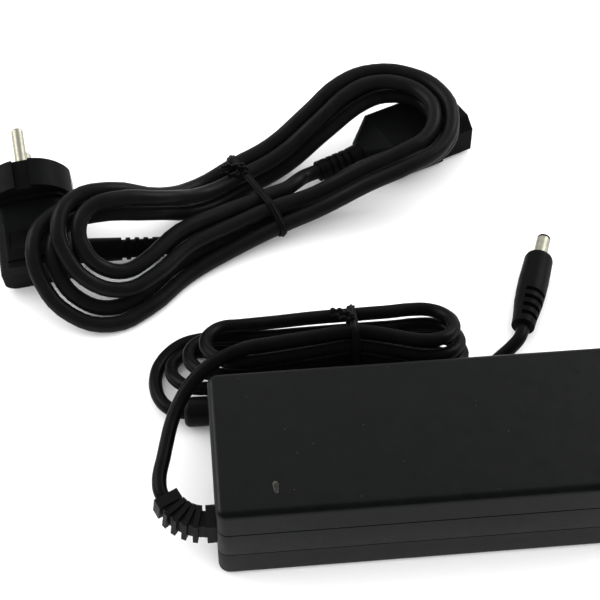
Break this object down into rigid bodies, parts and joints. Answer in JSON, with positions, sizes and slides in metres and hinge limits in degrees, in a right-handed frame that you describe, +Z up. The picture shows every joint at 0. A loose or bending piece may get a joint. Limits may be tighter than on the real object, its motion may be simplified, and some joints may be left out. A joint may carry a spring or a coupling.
{
  "type": "laptop power adapter",
  "caption": "Black laptop power adapter brick with a status light, a tied low-voltage lead ending in a barrel plug, and a separate tied mains lead with an angled earthed plug.",
  "frame": {"origin": "middle of the brick's underside, on the surface that it lies on", "axes": "+X along the brick towards its mains inlet, -X is the end where the low-voltage lead leaves, +Z up, -Y is the long side with the status light near it"},
  "size_m": [0.2355, 0.2273, 0.0388],
  "materials": {
    "case_black": "fine spark-eroded black moulding",
    "case_grey": "fine spark-eroded dark grey moulding",
    "lens": "clear moulded lens",
    "board": "green solder mask",
    "film": "thin insulating sheet",
    "aluminium": "bare sheet",
    "ferrite": "ground ferrite",
    "tape": "yellow polyester tape",
    "capacitor_sleeve": "shrunk sleeve on a can",
    "box_capacitor": "moulded box",
    "copper": "enamelled copper wire",
    "component": "moulded component",
    "disc_capacitor": "dipped disc",
    "fuse_glass": "glass tube with metal clips",
    "nickel": "nickel plated, slightly brushed",
    "wire": "insulated wire",
    "cord": "satin black jacket",
    "mains_cord": "satin black jacket",
    "tie": "black coated wire tie",
    "bead": "moulded black cover",
    "plug_plastic": "moulded black",
    "brass": "sprung contact"
  },
  "bodies": {
    "adapter": {"top_shell": "case_black", "bottom_shell": "case_grey", "light_window": "lens", "status_led": "lens", "circuit_board": "board", "insulation_sheet": "film", "heat_spreader": "aluminium", "transformer_core": "ferrite", "transformer_winding": "tape", "filter_inductor": "ferrite", "bulk_capacitor": "capacitor_sleeve", "x_capacitor": "box_capacitor", "choke_core": "ferrite", "choke_windings": "copper", "bridge_rectifier": "component", "primary_heatsink": "aluminium", "power_transistor": "component", "secondary_heatsink": "aluminium", "output_rectifier": "component", "output_capacitors": "capacitor_sleeve", "y_capacitors": "disc_capacitor", "optocoupler": "component", "control_chip": "component", "fuse": "fuse_glass", "inlet_body": "case_black", "inlet_blades": "nickel", "inlet_wires": "wire", "output_wires": "wire", "dc_strain_relief": "cord", "dc_cord_lead": "cord", "dc_cord_hank": "cord", "dc_cord_tail": "cord", "dc_tie": "tie", "ferrite_bead": "bead", "dc_plug_grip": "plug_plastic", "dc_plug_barrel": "nickel", "dc_plug_insulator": "plug_plastic", "dc_plug_contact": "brass"},
    "mains_lead": {"mains_plug_body": "plug_plastic", "mains_plug_pins": "nickel", "mains_plug_earth_clips": "nickel", "mains_plug_relief": "plug_plastic", "mains_cord_start": "mains_cord", "mains_cord_hank": "mains_cord", "mains_cord_end": "mains_cord", "mains_tie": "tie", "connector_body": "plug_plastic", "connector_contacts": "brass", "connector_relief": "plug_plastic"}
  },
  "joints": [
    {"name": "mains_lead_lift", "type": "slide", "parent": "adapter", "child": "mains_lead", "axis": [0, 0, 1], "range_m": [0, 0.06]}
  ]
}
